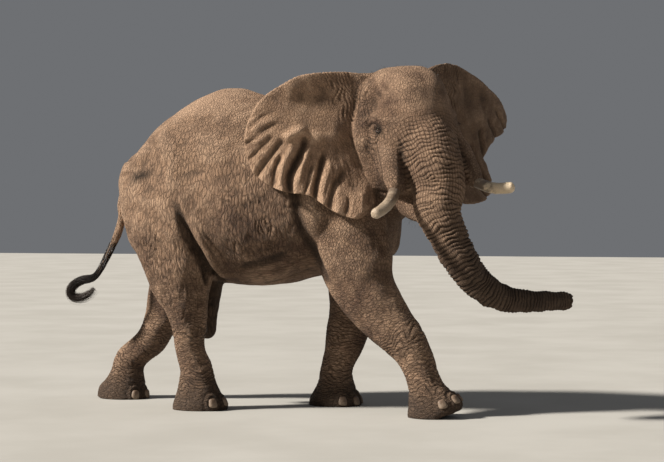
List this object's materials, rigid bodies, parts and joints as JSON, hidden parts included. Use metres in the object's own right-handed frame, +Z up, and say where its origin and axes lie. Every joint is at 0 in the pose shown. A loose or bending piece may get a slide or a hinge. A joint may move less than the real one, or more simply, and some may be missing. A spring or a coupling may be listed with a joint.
{
  "type": "african bush elephant bull model",
  "caption": "Life-size still model of a walking African bush elephant bull, its head turned to its right, with short tusks and a raised trunk tip.",
  "frame": {"origin": "centre of the bounding box on the floor that the feet stand on", "axes": "+X forward along the body, +Y to the animal's left, +Z up; the head is turned about 50 degrees towards -Y"},
  "size_m": [5.16, 2.4236, 3.3464],
  "materials": {
    "hide": "grey-brown skin under pale dust, matt, with a fine net of cracks and folds",
    "trunk_hide": "grey-brown skin, matt, ringed with wrinkles",
    "ear_hide": "grey-brown skin, matt, smooth above and fan-folded below",
    "ivory": "cream tusk, worn smooth, stained grey towards the root",
    "toenail": "horn, dull and dusty",
    "eye": "dark brown, wet and glossy",
    "hair": "coarse dark hair, nearly black"
  },
  "bodies": {
    "root": {"head": "hide", "lower_jaw": "hide", "trunk_1": "trunk_hide", "trunk_2": "trunk_hide", "trunk_3": "trunk_hide", "trunk_4": "trunk_hide", "ear_left": "ear_hide", "ear_right": "ear_hide", "eye_left": "eye", "eye_right": "eye", "tusk_left": "ivory", "tusk_right": "ivory", "neck": "hide", "torso": "hide", "hindquarters": "hide", "tail_upper": "hide", "tail_lower": "hide", "tail_tuft": "hair", "leg_fore_right_upper": "hide", "leg_fore_right_lower": "hide", "leg_fore_right_foot": "hide", "leg_fore_left_upper": "hide", "leg_fore_left_lower": "hide", "leg_fore_left_foot": "hide", "leg_hind_right_upper": "hide", "leg_hind_right_lower": "hide", "leg_hind_right_foot": "hide", "leg_hind_left_upper": "hide", "leg_hind_left_lower": "hide", "leg_hind_left_foot": "hide", "toenail_fore_right_1": "toenail", "toenail_fore_right_2": "toenail", "toenail_fore_right_3": "toenail", "toenail_fore_right_4": "toenail", "toenail_fore_left_1": "toenail", "toenail_fore_left_2": "toenail", "toenail_fore_left_3": "toenail", "toenail_fore_left_4": "toenail", "toenail_hind_right_1": "toenail", "toenail_hind_right_2": "toenail", "toenail_hind_right_3": "toenail", "toenail_hind_left_1": "toenail", "toenail_hind_left_2": "toenail", "toenail_hind_left_3": "toenail"}
  },
  "joints": []
}
